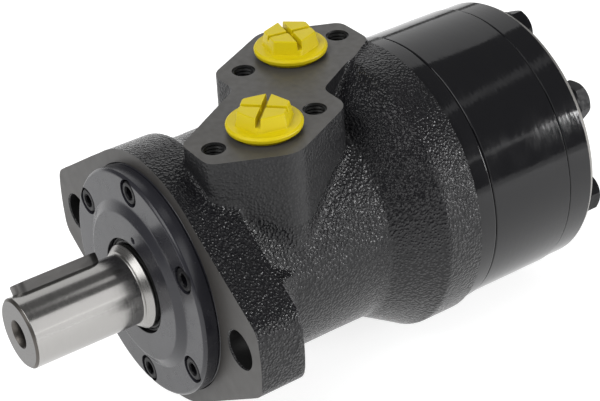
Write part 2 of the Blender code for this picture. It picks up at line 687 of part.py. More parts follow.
def make_end_cover(looks, group, cutters):
    front, rear = END_COVER_FRONT, END_COVER_REAR
    inner, outer = FACE_RING_RADIUS - FACE_GROOVE_HALF, FACE_RING_RADIUS + FACE_GROOVE_HALF
    floor = front + FACE_GROOVE_DEPTH
    groove = [(inner, front), (inner, floor), (outer, floor), (outer, front)]
    outline = [(0, front)] + groove + [(END_COVER_RADIUS, front), (END_COVER_RADIUS, rear - 1.6),
                                       (END_COVER_RADIUS - 0.5, rear - 0.5),
                                       (END_COVER_RADIUS - 1.6, rear), (0, rear)]
    cover = turned("end_cover", outline, LARGE_STEPS, looks["gloss_black"], group)
    cut(cover, rods("end_bolt_holes", along_y(bolt_places(), front - 1, rear + 1), BOLT_HOLE_RADIUS, 12,
                    cutters))
    return smooth(cover)


def make_end_bolts(looks, group, cutters):
    """Hexagon bolts with washers; the corners of the heads are turned off."""
    seat = END_COVER_REAR + 1.7
    top = seat + 5.4
    outline = [(0, seat), (7.4, seat), (7.4, top - 0.9), (6.4, top), (0, top)]
    first = turned("end_bolt_1", outline, 18, looks["black_steel"], group)
    hexagon = prism("bolt_hexagon", [circle(7.5, 6)], seat - 1, top + 1, looks["black_steel"], cutters)
    combine(first, hexagon, "INTERSECT")
    join(first, rods("bolt_shank", [((0, seat + 1, 0), (0, BOLT_TIP, 0))], BOLT_RADIUS, 10, cutters))
    smooth(first)
    spread(first, "end_bolt_", bolt_places(), group)
    washer = [(4.4, END_COVER_REAR + 0.1), (7.7, END_COVER_REAR + 0.1), (7.7, END_COVER_REAR + 1.6),
              (4.4, END_COVER_REAR + 1.6)]
    ring = smooth(turned("bolt_washer_1", washer, 14, looks["black_steel"], group))
    spread(ring, "bolt_washer_", bolt_places(), group)


def tapered_hexagon(name, cutters):
    """The plug's hexagon, turned so that two of its corners lie along the main slot."""
    span = [((0, 0, -PLUG_FLANGE_TOP - 0.5), (0, 0, -PLUG_TOP))]
    hexagon = rods(name, span, PLUG_HEX_FOOT, 6, cutters, end_radius=PLUG_HEX_TOP)
    hexagon.rotation_euler.z = math.radians(30)
    return hexagon


def make_port_plugs(looks, group, cutters):
    """Threaded caps with a round flange and a slotted hexagon."""
    outline = [(0, PLUG_FLANGE_TOP), (PLUG_FLANGE_RADIUS - 0.4, PLUG_FLANGE_TOP),
               (PLUG_FLANGE_RADIUS, PLUG_FLANGE_TOP + 0.4), (PLUG_FLANGE_RADIUS, PLUG_UNDERSIDE),
               (10.1, PLUG_UNDERSIDE), (10.1, PLUG_STEM_END - 1), (9.4, PLUG_STEM_END), (0, PLUG_STEM_END)]
    for i, ((x, y), turn) in enumerate(zip(port_places(), PLUG_TURNS)):
        name = f"port_plug_{i + 1}"
        plug = turned(name, outline, 24, looks["yellow"], group, rotation=UPWARD)
        join(plug, tapered_hexagon(name + "_hexagon", cutters))
        deep = Matrix.Translation(Vector((0, 0, -PLUG_TOP)) * MM)
        cut(plug, blocks(name + "_slot", (30, 2.0, 7.0), [deep @ Matrix.Rotation(0, 4, "Z")], cutters))
        cross = deep @ Matrix.Rotation(math.pi / 2, 4, "Z")
        cut(plug, blocks(name + "_cross_slot", (30, 1.6, 2.4), [cross], cutters))
        smooth(plug)
        plug.location = Vector((x, y, PORT_FACE)) * MM
        plug.rotation_euler = (0, 0, turn)


def make_drain_plug(looks, group, cutters):
    """A socket-headed plug and its sealing washer, under the neck."""
    where = (0, DRAIN_Y, DRAIN_SEAT)
    ring = [(6.1, -1.6), (8.2, -1.6), (8.2, -0.1), (6.1, -0.1)]
    smooth(turned("drain_washer", ring, 16, looks["copper"], group, where, DOWNWARD))
    outline = [(0, -5.2), (7.2, -5.2), (7.8, -4.6), (7.8, -1.7), (5.6, -1.7), (5.6, 7.5), (0, 7.5)]
    plug = turned("drain_plug", outline, 24, looks["black_steel"], group, where, DOWNWARD)
    socket = [((0, DRAIN_Y, DRAIN_SEAT - 6), (0, DRAIN_Y, DRAIN_SEAT - 1))]
    cut(plug, rods("drain_socket", socket, 3.46, 6, cutters))
    return smooth(plug)


def main():
    clear_scene()
    parts = collection("hydraulic_motor")
    cutters = collection("cutters")
    looks = {
        "iron": material("cast_iron_black", (0.035, 0.036, 0.04), 0.55, 0.3),
        "machined": material("machined_grey", (0.12, 0.12, 0.13), 0.32, 0.6),
        "gloss_black": material("gloss_black", (0.02, 0.021, 0.024), 0.2, 0.4),
        "black_steel": material("black_steel", (0.025, 0.025, 0.028), 0.35, 0.7),
        "ground_steel": material("ground_steel", (0.55, 0.56, 0.58), 0.22, 1.0),
        "dark_steel": material("dark_steel", (0.18, 0.18, 0.19), 0.35, 1.0),
        "key_steel": material("key_steel", (0.2, 0.2, 0.21), 0.4, 1.0),
        "rubber": material("seal_rubber", (0.015, 0.015, 0.016), 0.6, 0.0),
        "yellow": material("yellow_plastic", (0.72, 0.58, 0.02), 0.4, 0.0),
        "copper": material("copper_washer", (0.6, 0.28, 0.16), 0.35, 1.0),
    }
    make_housing(looks, parts, cutters)
    make_front_cover(looks, parts, cutters)
    make_cover_screws(looks, parts, cutters)
    make_seals(looks, parts)
    make_o_rings(looks, parts)
    make_output_shaft(looks, parts, cutters)
    make_shaft_key(looks, parts)
    make_thrust_bearing(looks, parts, cutters)
    make_cardan(looks, parts, cutters)
    make_distributor_plate(looks, parts, cutters)
    make_gear_ring(looks, parts)
    make_star(looks, parts)
    make_rollers(looks, parts)
    make_cardan_spacer(looks, parts)
    make_end_cover(looks, parts, cutters)
    make_end_bolts(looks, parts, cutters)
    make_port_plugs(looks, parts, cutters)
    make_drain_plug(looks, parts, cutters)


main()
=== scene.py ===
"""Looks of the orbital hydraulic motor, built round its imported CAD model.

Sizes are in millimetres, in the CAD frame: the origin is the centre of the flange's mounting
face, the shaft points to -Y and the ports to +Z. Turned pieces are (radius, depth) outlines.
"""

import math

import bmesh
import bpy
import numpy as np
from mathutils import Matrix, Vector, noise


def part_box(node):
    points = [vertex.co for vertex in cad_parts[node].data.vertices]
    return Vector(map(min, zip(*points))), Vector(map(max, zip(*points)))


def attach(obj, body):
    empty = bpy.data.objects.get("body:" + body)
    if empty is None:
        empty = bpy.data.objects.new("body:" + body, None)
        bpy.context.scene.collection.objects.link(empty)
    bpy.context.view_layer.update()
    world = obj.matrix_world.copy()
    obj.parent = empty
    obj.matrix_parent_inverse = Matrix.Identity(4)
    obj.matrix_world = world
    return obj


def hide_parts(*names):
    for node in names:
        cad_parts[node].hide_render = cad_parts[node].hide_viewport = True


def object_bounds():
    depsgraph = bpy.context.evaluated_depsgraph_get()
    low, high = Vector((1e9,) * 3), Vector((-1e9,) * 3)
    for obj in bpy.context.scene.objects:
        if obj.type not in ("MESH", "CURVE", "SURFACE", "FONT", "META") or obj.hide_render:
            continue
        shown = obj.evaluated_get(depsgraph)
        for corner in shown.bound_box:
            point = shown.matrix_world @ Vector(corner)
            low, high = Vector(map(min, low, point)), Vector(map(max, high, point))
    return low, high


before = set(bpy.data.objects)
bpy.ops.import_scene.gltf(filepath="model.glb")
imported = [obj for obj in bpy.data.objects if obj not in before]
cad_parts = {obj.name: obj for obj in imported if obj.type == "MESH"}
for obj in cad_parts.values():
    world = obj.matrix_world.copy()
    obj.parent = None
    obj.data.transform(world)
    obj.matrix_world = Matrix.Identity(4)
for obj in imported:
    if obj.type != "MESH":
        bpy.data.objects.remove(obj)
cad_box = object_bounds()

MM = 0.001
ALONG_SHAFT = Matrix(((1, 0, 0, 0), (0, 0, 1, 0), (0, 1, 0, 0), (0, 0, 0, 1)))
UPRIGHT = Matrix.Identity(4)
SHARP_ANGLE = math.radians(32)

# Camera: degrees for its angles, metres for its distance and shift, millimetres for lens and sensor.
# The shift is sideways and up from the line to the origin.
CAMERA_AZIMUTH = 57.204
CAMERA_ELEVATION = 32.251
CAMERA_ROLL = -3.829
CAMERA_DISTANCE = 0.642845
CAMERA_SHIFT = (0.049613, 0.026034)
CAMERA_LENS = 113.244
SENSOR_WIDTH = 36

# Studio, in metres
STUDIO_MIDDLE = (0, 0.05, 0)
WORLD_STRENGTH = 0.16
FLOOR_GLOW = 0.82

# Casting
VOXEL = 0.8
BLOCK_DRAFT = 0.02
MILL_WIDTH = 150
MILL_DEPTH = 20
FLANGE_CORE_RADIUS = 46.3
EAR_END_RADIUS = 65.5
EAR_CORNER_RADIUS = 7.0
EAR_SLOPE = math.radians(56)
FLANGE_HOLE_OFFSET = 53.2
FLANGE_HOLE_RADIUS = 6.75
NECK_RADIUS = 42.0
BARREL_RADIUS = 52.5
PORT_FACE = 53.0
PORT_MIDDLE = 55.25
PORT_SCREW_SPACING = 20.0
PORT_SCREW_MOUTH = 4.1
WELL_MOUTH = 12.2
SPOOL_RADIUS = 17.8
HOUSING_REAR = 100.7
BOLT_HOLE_FLOOR = 85.7
DRAIN_DEPTH = 28.0
DRAIN_SEAT = -41.0

# Material slots of the casting
CAST, CAST_FINE, MACHINED, PORT, HOLE = range(5)

# Front cover, shaft and key
PILOT_RADIUS = 41.25
COVER_FACE = -6.1
HUB_FACE = -8.2
SHAFT_RADIUS = 12.5
COLLAR_RADIUS = 14.25
COLLAR_FACE = -12.0
KEY_TURN = math.radians(128)
COVER_SCREWS = 6
SPOOL_SLOTS = 12

# Material slots of the output shaft
GROUND, END, BORE, COLLAR = range(4)

# Gear set
ROLLERS = 7
ROLLER_CIRCLE = 36.0
BOLT_CIRCLE = 41.0
BOLT_START = math.radians(36.5)
BOLT_HOLE = 4.3
CHANNEL_CIRCLE = 29.0
CHANNEL_RADIUS = 2.5
RING_BORE = 33.8
ROLLER_POCKET = 8.3

# Sockets of a Mix node set to colours
MIX_A, MIX_B, MIX_RESULT = 6, 7, 2


def limits(node):
    """The lowest and highest corner of a CAD node, in millimetres."""
    low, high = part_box(node)
    return low / MM, high / MM


def middle(node):
    low, high = limits(node)
    return (low + high) / 2


def depths(node):
    """Where a CAD node starts and ends along the shaft."""
    low, high = limits(node)
    return low.y, high.y


def polar(radius, angle):
    return radius * math.cos(angle), radius * math.sin(angle)


def arc(centre, radius, start, end, count):
    """Points on an arc, both ends included."""
    turns = [start + (end - start) * i / (count - 1) for i in range(count)]
    return [(centre[0] + radius * math.cos(a), centre[1] + radius * math.sin(a)) for a in turns]


def around(count, radius, start=0.0):
    """Points spread evenly over a circle."""
    return [polar(radius, start + 2 * math.pi * i / count) for i in range(count)]


def rounded(corners):
    """A closed outline from (x, y, fillet radius) corners, with each corner as an arc."""
    outline = []
    for i, (x, y, radius) in enumerate(corners):
        here = Vector((x, y))
        before = (Vector(corners[i - 1][:2]) - here).normalized()
        after = (Vector(corners[(i + 1) % len(corners)][:2]) - here).normalized()
        half = before.angle(after) / 2
        centre = here + (before + after).normalized() * (radius / math.sin(half))
        reach = radius / math.tan(half)
        first = here + before * reach - centre
        last = here + after * reach - centre
        start = math.atan2(first.y, first.x)
        sweep = (math.atan2(last.y, last.x) - start + math.pi) % (2 * math.pi) - math.pi
        outline += arc(centre, radius, start, start + sweep, 9)
    return outline


def eased(outline, radius=0.25):
    """A turned outline with each corner off the axis cut back by a small two-step round."""
    closed = min(r for r, _ in outline) > 0
    result = []
    for i, point in enumerate(outline):
        here = Vector(point)
        if not closed and i in (0, len(outline) - 1):
            result.append(tuple(here))
            continue
        before = Vector(outline[i - 1]) - here
        after = Vector(outline[(i + 1) % len(outline)]) - here
        cut = min(radius, before.length * 0.4, after.length * 0.4)
        first, last = here + before.normalized() * cut, here + after.normalized() * cut
        result += [tuple(first), tuple((first + last) / 4 + here / 2), tuple(last)]
    return result


def built(solid, name, place, look):
    """Make an object of a bmesh whose coordinates are millimetres in the frame of a matrix."""
    solid.transform(Matrix.Diagonal((MM, MM, MM, 1)) @ place)
    bmesh.ops.recalc_face_normals(solid, faces=solid.faces)
    mesh = bpy.data.meshes.new(name)
    solid.to_mesh(mesh)
    solid.free()
    piece = bpy.data.objects.new(name, mesh)
    bpy.context.scene.collection.objects.link(piece)
    if look:
        mesh.materials.append(look)
    return piece


def at(x, z):
    """The frame of a piece that is turned about an axis parallel to the shaft."""
    return Matrix.Translation((x, 0, z)) @ ALONG_SHAFT


def lathe(name, outline, steps, place=ALONG_SHAFT, look=None):
    """A turned piece. An outline that stays off the axis makes a ring."""
    solid = bmesh.new()
    rows = []
    for radius, depth in outline:
        if radius < MM:
            rows.append([solid.verts.new((0, 0, depth))])
        else:
            rows.append([solid.verts.new((x, y, depth)) for x, y in around(steps, radius)])
    pairs = list(zip(rows, rows[1:]))
    if len(rows[0]) > 1 and len(rows[-1]) > 1:
        pairs.append((rows[-1], rows[0]))
    for one, two in pairs:
        for i in range(steps):
            j = (i + 1) % steps
            corners = [one[i % len(one)], one[j % len(one)], two[j % len(two)], two[i % len(two)]]
            solid.faces.new(list(dict.fromkeys(corners)))
    return built(solid, name, place, look)


def prism(name, outline, low, high, place=ALONG_SHAFT, look=None, edge=0.0, ends=("low", "high")):
    """A flat outline made solid between two depths, with rounded edges at the named ends."""
    solid = bmesh.new()
    floor = [solid.verts.new((x, y, low)) for x, y in outline]
    roof = [solid.verts.new((x, y, high)) for x, y in outline]
    caps = {"low": solid.faces.new(floor), "high": solid.faces.new(roof)}
    for i in range(len(floor)):
        j = (i + 1) % len(floor)
        solid.faces.new([floor[i], floor[j], roof[j], roof[i]])
    if edge:
        rim = [e for end in ends for e in caps[end].edges]
        bmesh.ops.bevel(solid, geom=rim, offset=edge, segments=3, profile=0.5, affect="EDGES")
    return built(solid, name, place, look)


def bar(name, size, place):
    """A box round the origin of its frame, to cut with."""
    solid = bmesh.new()
    bmesh.ops.create_cube(solid, size=1, matrix=Matrix.Diagonal((*size, 1)))
    return built(solid, name, place, None)


def baked(piece):
    """Apply a piece's modifiers."""
    bpy.context.view_layer.update()
    seen = piece.evaluated_get(bpy.context.evaluated_depsgraph_get())
    mesh = bpy.data.meshes.new_from_object(seen)
    mesh.name = piece.name
    piece.modifiers.clear()
    piece.data = mesh
    return piece


def combine(target, tool, operation):
    """Cut, join or intersect two closed pieces, and use up the second."""
    step = target.modifiers.new("step", "BOOLEAN")
    step.operation = operation
    step.solver = "MANIFOLD"
    step.object = tool
    baked(target)
    bpy.data.objects.remove(tool, do_unlink=True)


def cut(target, tool):
    combine(target, tool, "DIFFERENCE")


def join(target, tool):
    combine(target, tool, "UNION")


def drill(target, places, radius, low, high, steps=24):
    """Round holes along the shaft at each of the places."""
    hole = [(0, low), (radius, low), (radius, high), (0, high)]
    for x, z in places:
        cut(target, lathe("hole", hole, steps, at(x, z)))


def shaded(piece):
    """Smooth shading with hard corners; large faces keep their own direction beside small ones."""
    piece.data.shade_smooth()
    piece.data.set_sharp_from_angle(angle=SHARP_ANGLE)
    weigh = piece.modifiers.new("weigh", "WEIGHTED_NORMAL")
    weigh.keep_sharp = True
    baked(piece)


def settle(piece, body, slot, *nodes):
    """Shade a finished piece, put it on its body and let it stand for its CAD nodes."""
    shaded(piece)
    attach(piece, body)
    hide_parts(*nodes)


def thread(minor, major, start, end, pitch):
    """Outline points of a thread's ridges, drawn as rings, from one depth to the other."""
    step = pitch if end > start else -pitch
    points = []
    for i in range(int(abs(end - start) / pitch)):
        depth = start + i * step
        points += [(minor, depth), (major, depth + step * 0.42), (major, depth + step * 0.54)]
    return points + [(minor, end)]


# ---------------------------------------------------------------- materials

class Paint:
    """A Principled material, with short ways to add procedural detail to it."""

    def __init__(self, name, colour, roughness, metallic=0.0, **sockets):
        self.look = bpy.data.materials.new(name)
        self.look.use_nodes = True
        self.tree = self.look.node_tree
        self.shader = self.tree.nodes["Principled BSDF"]
        self.set("Base Color", (*colour, 1))
        self.set("Roughness", roughness)
        self.set("Metallic", metallic)
        for socket, value in sockets.items():
            self.set(socket.replace("_", " "), value)
        self.place = self.node("ShaderNodeTexCoord").outputs["Object"]
        self.normal = None

    def set(self, socket, value):
        self.shader.inputs[socket].default_value = value

    def node(self, kind, **values):
        made = self.tree.nodes.new(kind)
        for key, value in values.items():
            setattr(made, key, value)
        return made

    def link(self, source, target):
        self.tree.links.new(source, target)

    def stretched(self, scale):
        """The place on the piece, scaled apart along its three axes."""
        mapping = self.node("ShaderNodeMapping")
        mapping.inputs["Scale"].default_value = scale
        self.link(self.place, mapping.inputs["Vector"])
        return mapping.outputs["Vector"]

    def radial(self):
        """The distance from the shaft axis, for marks left by turning."""
        flat = self.node("ShaderNodeVectorMath", operation="MULTIPLY")
        flat.inputs[1].default_value = (1, 0, 1)
        self.link(self.place, flat.inputs[0])
        length = self.node("ShaderNodeVectorMath", operation="LENGTH")
        self.link(flat.outputs["Vector"], length.inputs[0])
        return length.outputs["Value"]

    def grain(self, size, detail, source=None):
        """Noise with features of a size in millimetres."""
        made = self.node("ShaderNodeTexNoise")
        made.inputs["Scale"].default_value = 1 / (size * MM)
        made.inputs["Detail"].default_value = detail
        self.link(source or self.place, made.inputs["Vector"])
        return made.outputs["Fac"]

    def lines(self, size, source):
        """Noise along one number only, such as the radius."""
        made = self.node("ShaderNodeTexNoise", noise_dimensions="1D")
        made.inputs["Scale"].default_value = 1 / (size * MM)
        made.inputs["Detail"].default_value = 2.0
        self.link(source, made.inputs["W"])
        return made.outputs["Fac"]

    def cells(self, size):
        """The distance to the middle of rounded cells of a size in millimetres."""
        made = self.node("ShaderNodeTexVoronoi", feature="SMOOTH_F1")
        made.inputs["Scale"].default_value = 1 / (size * MM)
        made.inputs["Smoothness"].default_value = 0.6
        self.link(self.place, made.inputs["Vector"])
        return made.outputs["Distance"]

    def ramp(self, source, low, high, to_low, to_high):
        made = self.node("ShaderNodeMapRange")
        made.inputs["From Min"].default_value = low
        made.inputs["From Max"].default_value = high
        made.inputs["To Min"].default_value = to_low
        made.inputs["To Max"].default_value = to_high
        self.link(source, made.inputs["Value"])
        return made.outputs["Result"]

    def colours(self, source, first, second):
        made = self.node("ShaderNodeMix", data_type="RGBA")
        made.inputs[MIX_A].default_value = (*first, 1)
        made.inputs[MIX_B].default_value = (*second, 1)
        self.link(source, made.inputs["Factor"])
        self.link(made.outputs[MIX_RESULT], self.shader.inputs["Base Color"])

    def rough(self, source, low, high):
        self.link(self.ramp(source, 0.3, 0.7, low, high), self.shader.inputs["Roughness"])

    def bump(self, source, height, strength=1.0):
        """Raise the surface by a height in millimetres, over the bumps made before."""
        made = self.node("ShaderNodeBump")
        made.inputs["Distance"].default_value = height * MM
        made.inputs["Strength"].default_value = strength
        self.link(source, made.inputs["Height"])
        if self.normal:
            self.link(self.normal, made.inputs["Normal"])
        self.normal = made.outputs["Normal"]
        self.link(self.normal, self.shader.inputs["Normal"])
        return self


def cast_paint(name, coarse, fine, roughness):
    """Black paint over a sand-cast skin: pebbles of about a millimetre that catch the light, with painted
    shade in the gaps between them through a lower specular level.
    """
    paint = Paint(name, (0.006, 0.006, 0.007), roughness, Specular_IOR_Level=0.42)
    paint.colours(paint.grain(7, 3), (0.004, 0.004, 0.005), (0.008, 0.008, 0.009))
    paint.rough(paint.grain(1.2, 2), roughness - 0.06, roughness + 0.08)
    pebbles = paint.ramp(paint.cells(0.95), 0.0, 0.7, 1.0, 0.0)
    # specular level is lowest in the gaps between pebbles, a painted shade for the pits; the pebble tops keep
    # full specular
    glint_and_gap_shade = paint.ramp(pebbles, 0.2, 0.9, 0.56 - fine * 0.8, 0.56)
    paint.link(glint_and_gap_shade, paint.shader.inputs["Specular IOR Level"])
    paint.bump(paint.grain(2.4, 1), coarse)
    paint.bump(pebbles, fine)
    return paint.bump(paint.grain(0.6, 1), fine * 0.5).look


def machined_paint(name, colour, roughness):
    """A turned face under thin black paint, with faint rings round the shaft."""
    paint = Paint(name, colour, roughness, Specular_IOR_Level=0.45)
    second = tuple(c * 1.25 for c in colour)
    paint.colours(paint.grain(14, 4), colour, second)
    paint.rough(paint.grain(5, 3), roughness - 0.03, roughness + 0.05)
    paint.bump(paint.lines(0.35, paint.radial()), 0.004, 0.5)
    return paint.bump(paint.grain(4, 3), 0.008, 0.35).look


def port_paint():
    """The milled port face: flat, matt and slightly brown, with faint parallel marks."""
    paint = Paint("port_face_paint", (0.045, 0.042, 0.040), 0.42, Specular_IOR_Level=0.6)
    paint.colours(paint.grain(16, 4), (0.040, 0.038, 0.036), (0.056, 0.053, 0.049))
    paint.rough(paint.grain(2.5, 4), 0.36, 0.5)
    marks = paint.grain(1.0, 2, paint.stretched((2.2, 0.05, 1)))
    return paint.bump(marks, 0.008, 0.5).look


def gloss_paint():
    """Gloss black over turned steel: slight orange peel and shallow streaks."""
    paint = Paint("gloss_black_paint", (0.006, 0.006, 0.007), 0.08, Specular_IOR_Level=0.38)
    paint.rough(paint.grain(6, 4), 0.06, 0.13)
    paint.bump(paint.grain(7, 3), 0.05, 0.6)
    marks = paint.grain(1.5, 3, paint.stretched((0.22, 1, 0.22)))
    return paint.bump(marks, 0.04, 0.6).look


def ground_steel(name, colour, roughness, axis_scale, ripple):
    """Bare steel, with fine marks that are shortest along the axis of the largest scale."""
    paint = Paint(name, colour, roughness, 1.0)
    darker = tuple(c * 0.82 for c in colour)
    marks = paint.grain(1.0, 4, paint.stretched(axis_scale))
    paint.colours(marks, darker, colour)
    paint.rough(marks, roughness - 0.06, roughness + 0.1)
    return paint.bump(marks, ripple, 0.7).look


def bolt_paint():
    """Dull black of hardened screws and bolts."""
    paint = Paint("bolt_paint", (0.004, 0.004, 0.005), 0.4, Specular_IOR_Level=0.16)
    paint.rough(paint.grain(1.5, 3), 0.3, 0.5)
    return paint.bump(paint.grain(0.7, 3), 0.03, 0.5).look


def hole_shade_paint():
    """Walls of drilled and tapped holes in dull near black: painted shade inside the holes."""
    paint = Paint("hole_shade_paint", (0.006, 0.006, 0.006), 0.5, Specular_IOR_Level=0.3)
    paint.rough(paint.grain(1.5, 3), 0.42, 0.6)
    return paint.bump(paint.grain(0.7, 3), 0.02, 0.5).look


def yellow_plastic():
    """Moulded soft plastic with a little light passing under its skin."""
    paint = Paint("yellow_plastic_skin", (0.58, 0.46, 0.003), 0.42, Subsurface_Weight=0.1,
                  Specular_IOR_Level=0.3)
    paint.set("Subsurface Radius", (1.0, 0.7, 0.1))
    paint.set("Subsurface Scale", 1.5 * MM)
    paint.colours(paint.grain(8, 3), (0.54, 0.43, 0.002), (0.60, 0.48, 0.003))
    paint.rough(paint.grain(2, 3), 0.34, 0.46)
    return paint.bump(paint.grain(0.6, 2), 0.012, 0.4).look


def rubber():
    paint = Paint("seal_rubber_skin", (0.012, 0.012, 0.012), 0.5)
    paint.rough(paint.grain(1.2, 3), 0.42, 0.62)
    return paint.bump(paint.grain(0.5, 3), 0.01, 0.5).look


def copper():
    paint = Paint("copper_skin", (0.72, 0.36, 0.22), 0.3, 1.0)
    paint.colours(paint.grain(3, 4), (0.62, 0.29, 0.17), (0.78, 0.42, 0.27))
    return paint.bump(paint.grain(0.5, 3), 0.006, 0.5).look


# ---------------------------------------------------------------- casting

def ear_outline():
    """Round middle, straight flanks and round ears, mirrored into four quarters."""
    reach = EAR_END_RADIUS - EAR_CORNER_RADIUS
    corner_turn = EAR_SLOPE - math.acos((FLANGE_CORE_RADIUS - EAR_CORNER_RADIUS) / reach)
    quarter = arc((0, 0), EAR_END_RADIUS, 0, corner_turn, 9)[:-1]
    quarter += arc(polar(reach, corner_turn), EAR_CORNER_RADIUS, corner_turn, EAR_SLOPE, 13)
    quarter += arc((0, 0), FLANGE_CORE_RADIUS, EAR_SLOPE, math.pi / 2, 18)
    top = quarter + [(-x, z) for x, z in reversed(quarter[:-1])]
    return top + [(x, -z) for x, z in reversed(top[1:-1])]


def port_outline():
    """The port face's outline: one half, and the same half turned half a turn."""
    half = [(26.5, 10.0, 4.5), (39.4, 36.3, 10.0), (23.5, 66.9, 7.0), (9.8, 66.9, 5.0),
            (-10.2, 100.5, 4.5)]
    other = [(-x, 2 * PORT_MIDDLE - y, radius) for x, y, radius in half]
    return rounded(half + other)


def port_places():
    """Where the two ports stand, taken from their plugs."""
    return [tuple(middle(f"port_plug_{i}").xy) for i in (1, 2)]


def bolt_places():
    return around(ROLLERS, BOLT_CIRCLE, BOLT_START)


def to_outline(points, outline):
    """The distance of each 2D point from a closed outline."""
    corners = np.array(outline)
    nearest = np.full(len(points), 1e9)
    for one, two in zip(corners, np.roll(corners, -1, axis=0)):
        along = two - one
        share = np.clip(((points - one) @ along) / max(along @ along, 1e-9), 0, 1)
        nearest = np.minimum(nearest, np.linalg.norm(points - one - share[:, None] * along, axis=1))
    return nearest


def relax(spots, edges, weight, rounds):
    """Move each point part of the way to the mean of its neighbours, again and again."""
    ends = np.concatenate([edges, edges[:, ::-1]])
    count = np.bincount(ends[:, 0], minlength=len(spots))[:, None]
    for _ in range(rounds):
        mean = np.zeros_like(spots)
        for axis in range(3):
            mean[:, axis] = np.bincount(ends[:, 0], spots[ends[:, 1], axis], len(spots))
        spots = spots + (mean / count - spots) * weight[:, None]
    return spots


def barrel_profile():
    """The turned outline of the neck, the flare and the barrel."""
    return [(43.4, -4), (43.9, 16.5), (43.5, 18.9), (NECK_RADIUS, 22), (NECK_RADIUS, 69.8),
            (42.4, 70.6), (51.7, 86.0), (BARREL_RADIUS, 87.0), (BARREL_RADIUS, 106)]


def ear_web(side):
    """The wedge that joins the back of an ear to the neck, as wide as the neck at its foot."""
    solid = bmesh.new()
    for x, y, z in ((30, 15, 20), (47, 15, 11.5), (47, 18.5, 11.5), (30, 33, 17), (41, 31, 10.5)):
        for half in (z, -z):
            solid.verts.new((side * x, y, half))
    bmesh.ops.convex_hull(solid, input=solid.verts)
    return built(solid, "web", UPRIGHT, None)


def raw_casting():
    """The overlapping forms of the casting, melted together by a voxel remesh."""
    outline = [(0, -4)] + barrel_profile() + [(0, 106)]
    casting = lathe("housing_skin", outline, 128)
    forms = [prism("plate", ear_outline(), -4, 17.5, edge=2.6, ends=("high",))]
    block = prism("block", port_outline(), 5, PORT_FACE + 4, UPRIGHT)
    for vertex in block.data.vertices:
        spread = 1 + BLOCK_DRAFT * (PORT_FACE * MM - vertex.co.z) / (PORT_FACE * MM)
        vertex.co.x *= spread
    forms.append(block)
    forms += [ear_web(1), ear_web(-1)]
    for form in forms:
        merged = bmesh.new()
        merged.from_mesh(casting.data)
        merged.from_mesh(form.data)
        merged.to_mesh(casting.data)
        merged.free()
        bpy.data.objects.remove(form, do_unlink=True)
    melt = casting.modifiers.new("melt", "REMESH")
    melt.mode = "VOXEL"
    melt.voxel_size = VOXEL * MM
    return baked(casting)


def cast_skin(casting):
    """Fillets where the port block and flange meet the neck, and the uneven skin of a casting."""
    mesh = casting.data
    spots = np.zeros(len(mesh.vertices) * 3)
    mesh.vertices.foreach_get("co", spots)
    spots = spots.reshape(-1, 3) / MM
    edges = np.zeros(len(mesh.edges) * 2, int)
    mesh.edges.foreach_get("vertices", edges)
    edges = edges.reshape(-1, 2)
    profile = np.array(barrel_profile())
    radius = np.hypot(spots[:, 0], spots[:, 2])
    off_barrel = np.abs(radius - np.interp(spots[:, 1], profile[:, 1], profile[:, 0]))
    off_block = to_outline(spots[:, :2], port_outline())
    meeting = np.clip(1.4 - np.maximum(off_barrel, off_block) / 3, 0, 1) * (spots[:, 2] > 15)
    collar = np.clip(1.5 - np.abs(spots[:, 1] - 20) / 5, 0, 1) * (radius < 47)
    spots = relax(spots, edges, np.full(len(spots), 0.5), 2)
    spots = relax(spots, edges, 0.5 * np.maximum(meeting, 0.5 * collar), 7)
    mesh.vertices.foreach_set("co", (spots * MM).ravel())
    mesh.update()
    normals = np.zeros(len(mesh.vertices) * 3)
    mesh.vertices.foreach_get("normal", normals)
    layers = ((1.3, 0.035), (4.0, 0.03), (24.0, 0.2))
    lift = [sum(deep * noise.noise(Vector(p) / size) for size, deep in layers) for p in spots]
    spots += normals.reshape(-1, 3) * np.array(lift)[:, None]
    mesh.vertices.foreach_set("co", (spots * MM).ravel())
    mesh.update()


def machine_faces(casting):
    """Mill the flange face, the port face and the rear face flat."""
    wide, deep = MILL_WIDTH, MILL_DEPTH
    for name, size, place in (
            ("front_mill", (wide, deep, wide), (0, -deep / 2, 0)),
            ("port_mill", (wide, wide, deep), (0, 60, PORT_FACE + deep / 2)),
            ("rear_mill", (wide, deep, wide), (0, HOUSING_REAR + deep / 2, 0))):
        cut(casting, bar(name, size, Matrix.Translation(place)))


